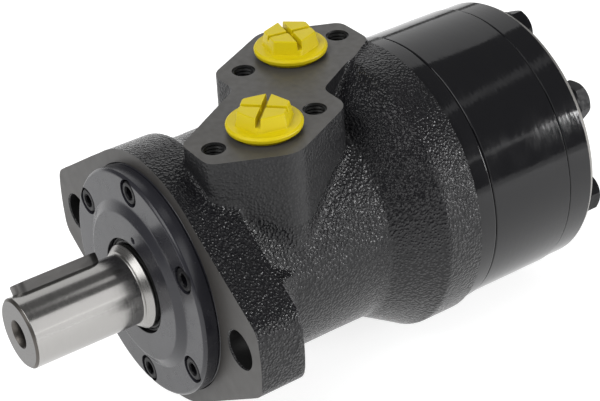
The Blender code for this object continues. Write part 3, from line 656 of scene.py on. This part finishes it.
def bore_casting(casting):
    """The front recess, the spool bore with its galleries, and every drilled hole."""
    recess = [(0, -1), (PILOT_RADIUS + 0.3, -1), (PILOT_RADIUS + 0.3, 2), (27.3, 2), (27.3, 8.3),
              (25, 8.3), (25, 16.9), (0, 16.9)]
    cut(casting, lathe("recess", recess, 96))
    bore = [(0, 12), (SPOOL_RADIUS, 12)]
    for _, y in port_places():
        bore += [(SPOOL_RADIUS, y - 4.5), (24, y - 4.5), (24, y + 4.5), (SPOOL_RADIUS, y + 4.5)]
    bore += [(SPOOL_RADIUS, HOUSING_REAR + 1), (0, HOUSING_REAR + 1)]
    cut(casting, lathe("bore", bore, 64))
    radius = FLANGE_HOLE_RADIUS
    for side in (1, -1):
        hole = [(0, -1), (radius + 1.4, -1), (radius, 0.5), (radius, 25), (0, 25)]
        cut(casting, lathe("ear_hole", hole, 48, at(side * FLANGE_HOLE_OFFSET, 0)))
    for x, y in port_places():
        well = [(0, PORT_FACE + 1), (WELL_MOUTH, PORT_FACE + 1), (10.9, PORT_FACE - 0.5)]
        well += thread(10.5, 11.0, PORT_FACE - 0.6, PORT_FACE - 14, 1.8) + [(0, PORT_FACE - 15)]
        centre = Matrix.Translation((x, y, 0))
        cut(casting, lathe("well", well, 64, centre))
        cut(casting, lathe("passage", [(0, 12), (5, 12), (5, 40), (0, 40)], 24, centre))
        for shift in (PORT_SCREW_SPACING, -PORT_SCREW_SPACING):
            hole = [(0, PORT_FACE + 1), (PORT_SCREW_MOUTH, PORT_FACE + 1), (PORT_SCREW_MOUTH, PORT_FACE),
                    (3.9, PORT_FACE - 0.5)]
            hole += thread(3.4, 3.9, PORT_FACE - 0.6, PORT_FACE - 12, 1.25) + [(0, PORT_FACE - 14)]
            cut(casting, lathe("screw_hole", hole, 40, Matrix.Translation((x, y + shift, 0))))
    drill(casting, bolt_places(), BOLT_HOLE, BOLT_HOLE_FLOOR, HOUSING_REAR + 1)
    drain = [(0, -60), (9.0, -60), (9.0, DRAIN_SEAT), (5.9, DRAIN_SEAT), (5.9, -32), (2.2, -32),
             (2.2, -16), (0, -16)]
    cut(casting, lathe("drain", drain, 40, Matrix.Translation((0, DRAIN_DEPTH, 0))))


def paint_casting(casting, looks):
    """Rough paint on the cast skin, smooth paint on the milled faces, and dull near-black painted shade in
    the holes.
    """
    casting.data.materials.clear()
    for name in ("cast", "cast_fine", "machined", "port", "hole"):
        casting.data.materials.append(looks[name])
    count = len(casting.data.polygons)
    centres, normals = np.zeros(count * 3), np.zeros(count * 3)
    casting.data.polygons.foreach_get("center", centres)
    casting.data.polygons.foreach_get("normal", normals)
    centres, normals = centres.reshape(-1, 3) / MM, normals.reshape(-1, 3)
    radius = np.hypot(centres[:, 0], centres[:, 2])
    slot = np.full(count, CAST)
    flank = (to_outline(centres[:, :2], port_outline()) < 2.5) & (np.abs(normals[:, 2]) < 0.4)
    slot[flank & (radius > NECK_RADIUS + 3) & (centres[:, 2] > 26)] = CAST_FINE
    slot[(centres[:, 1] < 0.05) & (normals[:, 1] < -0.99)] = MACHINED
    slot[(centres[:, 1] > HOUSING_REAR - 0.05) & (normals[:, 1] > 0.99)] = MACHINED
    slot[(centres[:, 2] > PORT_FACE - 0.05) & (normals[:, 2] > 0.99)] = PORT
    inside = (radius < NECK_RADIUS - 2) & (centres[:, 2] < 30)
    holes = ((0, WELL_MOUTH), (PORT_SCREW_SPACING, PORT_SCREW_MOUTH),
             (-PORT_SCREW_SPACING, PORT_SCREW_MOUTH))
    for x, y in port_places():
        for shift, wide in holes:
            away = np.hypot(centres[:, 0] - x, centres[:, 1] - y - shift)
            inside |= (away < wide + 0.1) & (centres[:, 2] > 20) & (centres[:, 2] < PORT_FACE - 0.02)
    for side in (1, -1):
        away = np.hypot(centres[:, 0] - side * FLANGE_HOLE_OFFSET, centres[:, 2])
        inside |= (away < FLANGE_HOLE_RADIUS + 0.02) & (centres[:, 1] > 0.02) & (centres[:, 1] < 17)
    # the bore, wells, screw holes and ear holes get the dull near-black hole paint, a painted shade
    slot[inside & (slot != MACHINED)] = HOLE
    casting.data.polygons.foreach_set("material_index", slot)


def make_housing(looks):
    casting = raw_casting()
    cast_skin(casting)
    machine_faces(casting)
    bore_casting(casting)
    paint_casting(casting, looks)
    settle(casting, "motor_body", "cast_iron_black", "housing")


# ---------------------------------------------------------------- front

def make_front_cover(looks):
    """The pilot with its raised hub, the screw holes and one small dimple."""
    rear = depths("front_cover")[1]
    outline = [(17.3, HUB_FACE), (27, HUB_FACE), (29.4, HUB_FACE + 1.4), (30.6, COVER_FACE),
               (PILOT_RADIUS - 0.9, COVER_FACE), (PILOT_RADIUS, COVER_FACE + 0.9), (PILOT_RADIUS, -0.6),
               (PILOT_RADIUS - 0.5, -0.3), (PILOT_RADIUS - 0.5, 0.2), (PILOT_RADIUS, 0.5),
               (PILOT_RADIUS, 1.7), (27, 1.7), (27, rear), (21.2, rear), (21.2, 0.5), (14.6, 0.5),
               (14.6, -3.7), (17.3, -3.7)]
    cover = lathe("front_cover_skin", eased(outline, 0.35), 160, look=looks["cover"])
    hole = [(0, -12), (6.6, -12), (4.85, COVER_FACE + 0.35), (4.75, -0.6), (2.75, -0.6), (2.75, 3),
            (0, 3)]
    for i in range(COVER_SCREWS):
        spot = middle(f"cover_screw_{i + 1}")
        cut(cover, lathe("screw_hole", hole, 36, at(spot.x, spot.z)))
    dimple = [(0, HUB_FACE - 1), (1.9, HUB_FACE - 1), (1.1, HUB_FACE + 0.3), (0.9, HUB_FACE + 1.4),
              (0, HUB_FACE + 1.6)]
    cut(cover, lathe("dimple", dimple, 16, at(3.5, 20)))
    settle(cover, "motor_body", "machined_grey", "front_cover")


def make_cover_screws(looks):
    """Socket-head screws sunk in the cover."""
    for i in range(COVER_SCREWS):
        name = f"cover_screw_{i + 1}"
        front, rear = depths(name)
        place = at(middle(name).x, middle(name).z)
        outline = [(0, front), (3.7, front), (4.25, front + 0.5), (4.25, front + 5), (2.4, front + 5),
                   (2.4, rear - 0.5), (1.9, rear), (0, rear)]
        screw = lathe(name + "_skin", eased(outline, 0.15), 36, place, looks["bolt"])
        socket = [(0, front - 1), (3.4, front - 1), (2.2, front + 0.5), (0, front + 0.5)]
        cut(screw, lathe("socket_mouth", socket, 24, place))
        cut(screw, prism("socket", around(6, 2.35, i * 0.4), front - 1, front + 2.8, place))
        settle(screw, "motor_body", "black_steel", name)


def make_dust_seal(looks):
    """The rubber ring round the collar, with a groove in its face."""
    front, rear = depths("dust_seal")
    lip = front + 1.2
    outline = [(COLLAR_RADIUS + 0.25, lip + 0.7), (15.3, lip), (15.9, lip), (16.1, lip + 0.7),
               (16.4, lip + 0.7), (16.5, lip + 0.1), (17.0, lip + 0.1), (17.0, rear), (14.6, rear)]
    seal = lathe("dust_seal_skin", eased(outline, 0.12), 96, look=looks["rubber"])
    settle(seal, "motor_body", "seal_rubber", "dust_seal")


def key_outline(width, front, rear):
    """A bar with round ends, lying along the shaft."""
    radius = width / 2
    far = arc((0, rear - radius), radius, 0, math.pi, 17)
    return far + arc((0, front + radius), radius, math.pi, 2 * math.pi, 17)


def key_frame():
    """A frame with its Z axis out through the key."""
    return Matrix.Rotation(math.pi / 2 - KEY_TURN, 4, "Y")


def make_output_shaft(looks):
    """Shaft end with its key slot and centre hole, collar, thrust shoulder and slotted spool."""
    front, rear = depths("output_shaft")
    outline = [(0, front), (SHAFT_RADIUS - 0.9, front), (SHAFT_RADIUS, front + 0.9),
               (SHAFT_RADIUS, COLLAR_FACE + 0.4), (SHAFT_RADIUS + 0.3, COLLAR_FACE + 0.8),
               (SHAFT_RADIUS + 0.9, COLLAR_FACE + 0.9), (COLLAR_RADIUS + 0.9, HUB_FACE - 0.7),
               (COLLAR_RADIUS + 0.9, HUB_FACE - 0.1), (COLLAR_RADIUS, HUB_FACE - 0.1),
               (COLLAR_RADIUS, 12.4), (23.5, 12.4), (23.5, 16.3), (17.5, 16.3), (17.5, rear), (0, rear)]
    shaft = lathe("output_shaft_skin", eased(outline, 0.12), 128, look=looks["ground"])
    bore = [(0, 31), (9.8, 31), (9.8, 49), (10.5, 49), (10.5, rear + 1), (0, rear + 1)]
    cut(shaft, lathe("spool_bore", bore, 48))
    centre = [(0, front - 1), (6.0, front - 1), (4.4, front + 0.8), (4.1, front + 2.2), (4.1, front + 3.3)]
    centre += thread(3.4, 4.0, front + 3.4, front + 21, 1.25) + [(0, front + 23.5)]
    cut(shaft, lathe("centre_hole", centre, 48))
    key_front, key_rear = depths("shaft_key")
    slot = key_outline(7.96, key_front - 0.2, key_rear + 0.2)
    cut(shaft, prism("key_slot", slot, 8.5, 20, key_frame()))
    for i in range(SPOOL_SLOTS):
        start = 35.0 if i % 2 else 71.5
        turn = Matrix.Rotation(math.radians(15 + 30 * i), 4, "Y")
        slot_frame = turn @ Matrix.Translation((0, (start + 88) / 2, 17.5))
        cut(shaft, bar("spool_slot", (3, 88 - start, 3.6), slot_frame))
    shaft.data.materials.clear()
    for name in ("ground", "end", "bore", "collar"):
        shaft.data.materials.append(looks[name])
    for face in shaft.data.polygons:
        face.material_index = GROUND
        depth = face.center.y / MM
        away = math.hypot(face.center.x, face.center.z) / MM
        if depth < front + 0.02 and away < SHAFT_RADIUS - 0.5:
            face.material_index = END
        elif depth < front + 0.85 or (depth < -20 and away < 7):
            face.material_index = BORE
        elif COLLAR_FACE + 0.5 < depth < 0:
            face.material_index = COLLAR
    settle(shaft, "shaft", "ground_steel", "output_shaft")


def make_shaft_key(looks):
    outline = key_outline(7.8, *depths("shaft_key"))
    key = prism("shaft_key_skin", outline, 8.7, 15.5, key_frame(), looks["key"], edge=0.4)
    settle(key, "shaft", "key_steel", "shaft_key")


# ---------------------------------------------------------------- rear

def make_plate(looks):
    """The distributor plate, with the bolt holes and one oil channel for each pocket."""
    low, high = limits("distributor_plate")
    radius, front, rear = high.x, low.y, high.y
    outline = [(13, front), (radius - 0.4, front), (radius, front + 0.4), (radius, rear - 0.6),
               (radius - 0.5, rear), (13, rear)]
    plate = lathe("distributor_plate_skin", eased(outline), 192, look=looks["gloss"])
    drill(plate, bolt_places(), BOLT_HOLE, front - 1, rear + 1)
    channels = around(ROLLERS, CHANNEL_CIRCLE, BOLT_START)
    drill(plate, channels, CHANNEL_RADIUS, front - 1, rear + 1, 20)
    settle(plate, "motor_body", "gloss_black", "distributor_plate")


def pocket_outline():
    """The ring's bore with one round pocket for each roller."""
    bore, pocket = RING_BORE, ROLLER_POCKET
    meet = (bore ** 2 + ROLLER_CIRCLE ** 2 - pocket ** 2) / (2 * ROLLER_CIRCLE)
    height = math.sqrt(bore ** 2 - meet ** 2)
    edge, wrap = math.atan2(height, meet), math.atan2(height, meet - ROLLER_CIRCLE)
    pitch = 2 * math.pi / ROLLERS
    outline = []
    for i in range(ROLLERS):
        turn = BOLT_START - pitch / 2 + pitch * i
        outline += arc(polar(ROLLER_CIRCLE, turn), pocket, turn - wrap, turn + wrap, 25)
        outline += arc((0, 0), bore, turn + edge, turn + pitch - edge, 9)[1:-1]
    return outline


def make_gear_ring(looks):
    low, high = limits("gear_ring")
    radius, front, rear = high.x, low.y, high.y
    outline = [(0, front), (radius - 0.35, front), (radius, front + 0.35), (radius, rear - 0.35),
               (radius - 0.35, rear), (0, rear)]
    ring = lathe("gear_ring_skin", eased(outline, 0.15), 192, look=looks["gloss"])
    cut(ring, prism("pockets", pocket_outline(), front - 1, rear + 1))
    drill(ring, bolt_places(), BOLT_HOLE, front - 1, rear + 1)
    settle(ring, "motor_body", "gloss_black", "gear_ring")


def make_end_cover(looks):
    """The flat end plate, with its rear chamfer in lighter bare steel as a painted highlight line along the
    rim.
    """
    low, high = limits("end_cover")
    radius, front, rear = high.x, low.y, high.y
    outline = [(0, front), (radius - 0.3, front), (radius, front + 0.3), (radius, rear - 1.8),
               (radius - 1.1, rear), (0, rear)]
    cover = lathe("end_cover_skin", eased(outline, 0.2), 192, look=looks["gloss"])
    # the rear chamfer faces get lighter bare steel: a painted highlight line along the rim
    cover.data.materials.append(looks["edge"])
    for face in cover.data.polygons:
        if face.center.y / MM > rear - 1.75 and 0.3 < face.normal.y < 0.95:
            face.material_index = 1
    drill(cover, bolt_places(), BOLT_HOLE, front - 1, rear + 1)
    settle(cover, "motor_body", "gloss_black", "end_cover")


def make_end_bolts(looks):
    """Hexagon bolts whose head corners are turned off, each on its washer."""
    for i in range(ROLLERS):
        name, washer_name = f"end_bolt_{i + 1}", f"bolt_washer_{i + 1}"
        front, top = depths(name)
        seat = top - 5.4
        place = at(middle(name).x, middle(name).z)
        head = [(0, seat), (6.3, seat), (6.5, seat + 0.4), (7.5, seat + 0.4), (7.5, top - 1.1), (6.2, top),
                (5.4, top), (5.0, top - 0.25), (0, top - 0.25)]
        bolt = lathe(name + "_skin", head, 60, place, looks["bolt"])
        hexagon = prism("hexagon", around(6, 7.5, i * 0.4), seat - 1, top + 1, place)
        combine(bolt, hexagon, "INTERSECT")
        shank = [(0, front), (3.3, front), (3.9, front + 0.8), (3.9, seat + 1), (0, seat + 1)]
        join(bolt, lathe("shank", shank, 28, place))
        settle(bolt, "motor_body", "black_steel", name)
        front, rear = depths(washer_name)
        ring = [(4.4, front), (7.7, front), (7.7, rear), (4.4, rear)]
        washer = lathe(washer_name + "_skin", eased(ring, 0.3), 48, place, looks["bolt"])
        settle(washer, "motor_body", "black_steel", washer_name)


# ---------------------------------------------------------------- plugs

def tapered_hexagon(foot, head, low, high):
    """A hexagon with soft corners that narrows towards its top."""
    solid = bmesh.new()
    rows = []
    for radius, depth in ((foot, low), (foot, low + 0.2), (head, high - 0.25), (head - 0.3, high)):
        half = math.cos(math.pi / 6) * radius
        corners = []
        for i in range(6):
            corner = i * math.pi / 3
            for swing in (-0.045, 0.045):
                reach = half / math.cos(math.pi / 6 - abs(swing))
                corners.append(solid.verts.new((*polar(reach, corner + swing), depth)))
        rows.append(corners)
    solid.faces.new(rows[0])
    solid.faces.new(rows[-1])
    for one, two in zip(rows, rows[1:]):
        for i in range(len(one)):
            j = (i + 1) % len(one)
            solid.faces.new([one[i], one[j], two[j], two[i]])
    return built(solid, "hexagon", UPRIGHT, None)


def make_port_plugs(looks):
    """Yellow caps: a round flange, a slotted hexagon with a shallow cross slot, and a thread."""
    for number, turn in ((1, math.radians(-46)), (2, math.radians(-12))):
        name = f"port_plug_{number}"
        low, high = limits(name)
        spot, top = middle(name), high.z
        flange_top, flange_low = PORT_FACE + 3.4, PORT_FACE + 1.3
        outline = [(0, flange_top), (12.2, flange_top), (12.9, flange_top - 0.5), (13.0, flange_top - 0.9),
                   (12.8, flange_low), (9.3, flange_low), (9.0, flange_low - 0.4), (9.0, PORT_FACE - 0.6)]
        outline += thread(9.7, 10.1, PORT_FACE - 0.8, low.z + 1, 1.8) + [(9.2, low.z), (0, low.z)]
        plug = lathe(name + "_skin", outline, 96, UPRIGHT, looks["yellow"])
        join(plug, tapered_hexagon(10.3, 9.2, flange_top - 0.6, top))
        depth = Matrix.Translation((0, 0, top))
        cut(plug, bar("slot", (30, 1.7, 6.4), depth))
        cut(plug, bar("cross_slot", (1.4, 30, 3.6), depth))
        skirt = [(13.5, flange_top + 0.05), (24, flange_top + 0.05), (24, top + 4), (13.5, top + 4)]
        cut(plug, lathe("clearance", skirt, 32, UPRIGHT))
        soften = plug.modifiers.new("soften", "BEVEL")
        soften.width = 0.3 * MM
        soften.segments = 2
        soften.limit_method = "ANGLE"
        soften.angle_limit = math.radians(40)
        soften.use_clamp_overlap = True
        baked(plug)
        plug.data.transform(Matrix.Translation((spot.x * MM, spot.y * MM, 0)) @ Matrix.Rotation(turn, 4, "Z"))
        settle(plug, ("front_plug", "rear_plug")[number - 1], "yellow_plastic", name)


def make_drain_plug(looks):
    """A socket-headed plug on a copper washer, under the neck."""
    low, high = limits("drain_plug")
    spot = middle("drain_plug")
    place = Matrix.Translation((spot.x, spot.y, 0))
    head = low.z + 3.5
    outline = [(0, low.z), (7.1, low.z), (7.8, low.z + 0.7), (7.8, head), (5.6, head)]
    outline += thread(5.2, 5.6, head + 0.4, high.z - 1, 1.5) + [(4.8, high.z), (0, high.z)]
    plug = lathe("drain_plug_skin", outline, 48, place, looks["bolt"])
    cut(plug, prism("drain_socket", around(6, 3.5), low.z - 1, low.z + 4.2, place))
    settle(plug, "motor_body", "black_steel", "drain_plug")
    low, high = limits("drain_washer")
    ring = eased([(6.1, low.z), (8.2, low.z), (8.2, high.z), (6.1, high.z)], 0.3)
    washer = lathe("drain_washer_skin", ring, 48, place, looks["copper"])
    settle(washer, "motor_body", "copper_washer", "drain_washer")


def paint_inside(looks):
    """The CAD solids that stay: seals, bearing, cardan shaft, star and rollers."""
    kinds = {"shaft_seal": "rubber", "cover_o_ring": "rubber", "housing_o_ring": "rubber",
             "plate_o_ring": "rubber", "end_cover_o_ring": "rubber", "thrust_race": "ground",
             "thrust_needle_cage": "ground", "cardan_shaft": "dark", "cardan_spacer": "dark",
             "rotor_star": "ground"}
    kinds.update({f"roller_{i + 1}": "ground" for i in range(ROLLERS)})
    for node, kind in kinds.items():
        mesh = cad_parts[node].data
        mesh.materials.clear()
        mesh.materials.append(looks[kind])


# ---------------------------------------------------------------- studio

def area_light(name, place, target, size, power):
    """A white rectangular light, turned to face a point."""
    lamp = bpy.data.lights.new(name, "AREA")
    lamp.shape = "RECTANGLE"
    lamp.size, lamp.size_y = size
    lamp.energy = power
    holder = bpy.data.objects.new(name, lamp)
    bpy.context.scene.collection.objects.link(holder)
    holder.location = place
    holder.rotation_euler = (Vector(target) - Vector(place)).to_track_quat("-Z", "Y").to_euler()
    return holder


def make_floor():
    """A white floor that glows, so that only a soft shadow shows on it."""
    solid = bmesh.new()
    bmesh.ops.create_grid(solid, x_segments=1, y_segments=1, size=6)
    mesh = bpy.data.meshes.new("floor")
    solid.to_mesh(mesh)
    solid.free()
    floor = bpy.data.objects.new("floor", mesh)
    floor.location.z = cad_box[0].z - 0.5 * MM
    bpy.context.scene.collection.objects.link(floor)
    white = Paint("floor_white", (0.45, 0.45, 0.45), 0.8, Specular_IOR_Level=0.2)
    white.set("Emission Color", (1, 1, 1, 1))
    white.set("Emission Strength", FLOOR_GLOW)
    mesh.materials.append(white.look)


def make_studio():
    """A white floor, large soft lights in front and above, and small panels that show as glints."""
    make_floor()
    world = bpy.data.worlds.new("studio")
    world.use_nodes = True
    bpy.context.scene.world = world
    backdrop = world.node_tree.nodes["Background"]
    backdrop.inputs["Color"].default_value = (1, 1, 1, 1)
    backdrop.inputs["Strength"].default_value = WORLD_STRENGTH
    bpy.context.scene.view_settings.view_transform = "Standard"
    target = STUDIO_MIDDLE
    key = area_light("key", (0.25, -0.95, 1.6), target, (1.5, 1.2), 22)
    key.visible_glossy = False  # its reflection would glare on the flare; front_soft is the one seen
    area_light("front_soft", (0.05, -1.25, 1.15), target, (1.3, 0.9), 12)
    area_light("left_panel", (-1.3, 0.9, 0.85), target, (1.2, 1.5), 4.6)
    area_light("right_card", (0.42, 0.19, 0.23), (0, 0.19, 0), (0.28, 0.56), 0.65)
    area_light("low_strip", (1.0, 0.6, 0.42), target, (0.8, 0.05), 0.12)
    area_light("high_card", (0.05, 0.45, 0.97), (0.05, 0, 0), (0.2, 0.2), 0.2)
    area_light("high_strip", (0.42, 0.75, 1.0), target, (0.8, 0.07), 0.1)
    area_light("glint_panel", (0.66, 0.78, 0.24), target, (0.2, 0.26), 4.0)


def make_camera():
    """A camera at an azimuth from -Y and an elevation, rolled about its own line of sight."""
    azimuth, elevation = math.radians(CAMERA_AZIMUTH), math.radians(CAMERA_ELEVATION)
    roll = math.radians(CAMERA_ROLL)
    back = Vector((math.sin(azimuth) * math.cos(elevation), -math.cos(azimuth) * math.cos(elevation),
                   math.sin(elevation)))
    right = Vector((math.cos(azimuth), math.sin(azimuth), 0))
    up = back.cross(right)
    right, up = (right * math.cos(roll) + up * math.sin(roll), up * math.cos(roll) - right * math.sin(roll))
    turn = Matrix((right, up, back)).transposed()
    data = bpy.data.cameras.new("camera")
    data.lens, data.sensor_width = CAMERA_LENS, SENSOR_WIDTH
    camera = bpy.data.objects.new("camera", data)
    bpy.context.scene.collection.objects.link(camera)
    place = back * CAMERA_DISTANCE + right * CAMERA_SHIFT[0] + up * CAMERA_SHIFT[1]
    camera.matrix_world = Matrix.Translation(place) @ turn.to_4x4()
    bpy.context.scene.camera = camera


def main():
    looks = {
        "cast": cast_paint("cast_paint", 0.05, 0.30, 0.19),
        "cast_fine": cast_paint("fine_cast_paint", 0.03, 0.16, 0.40),
        "machined": machined_paint("flange_face_paint", (0.034, 0.032, 0.030), 0.42),
        "cover": machined_paint("cover_paint", (0.015, 0.015, 0.019), 0.24),
        "port": port_paint(),
        "hole": hole_shade_paint(),
        "gloss": gloss_paint(),
        "bolt": bolt_paint(),
        "ground": ground_steel("ground_steel_skin", (0.42, 0.412, 0.40), 0.17, (0.2, 8, 0.2), 0.003),
        "end": ground_steel("shaft_end_skin", (0.19, 0.186, 0.182), 0.34, (2, 2, 2), 0.003),
        "bore": ground_steel("bore_steel_skin", (0.13, 0.12, 0.11), 0.4, (2, 2, 2), 0.01),
        "collar": ground_steel("collar_steel_skin", (0.36, 0.352, 0.34), 0.28, (0.2, 8, 0.2), 0.003),
        # lighter steel for the end cover's rear chamfer, a painted highlight line along the rim
        "edge": ground_steel("painted_rim_highlight_skin", (0.34, 0.33, 0.315), 0.5, (2, 2, 2), 0.005),
        "key": ground_steel("key_steel_skin", (0.2, 0.195, 0.19), 0.42, (3, 0.3, 3), 0.01),
        "dark": ground_steel("dark_steel_skin", (0.22, 0.22, 0.23), 0.36, (0.3, 4, 0.3), 0.01),
        "yellow": yellow_plastic(),
        "rubber": rubber(),
        "copper": copper(),
    }
    make_studio()
    make_camera()
    make_housing(looks)
    make_front_cover(looks)
    make_cover_screws(looks)
    make_dust_seal(looks)
    make_output_shaft(looks)
    make_shaft_key(looks)
    make_plate(looks)
    make_gear_ring(looks)
    make_end_cover(looks)
    make_end_bolts(looks)
    make_port_plugs(looks)
    make_drain_plug(looks)
    paint_inside(looks)


main()
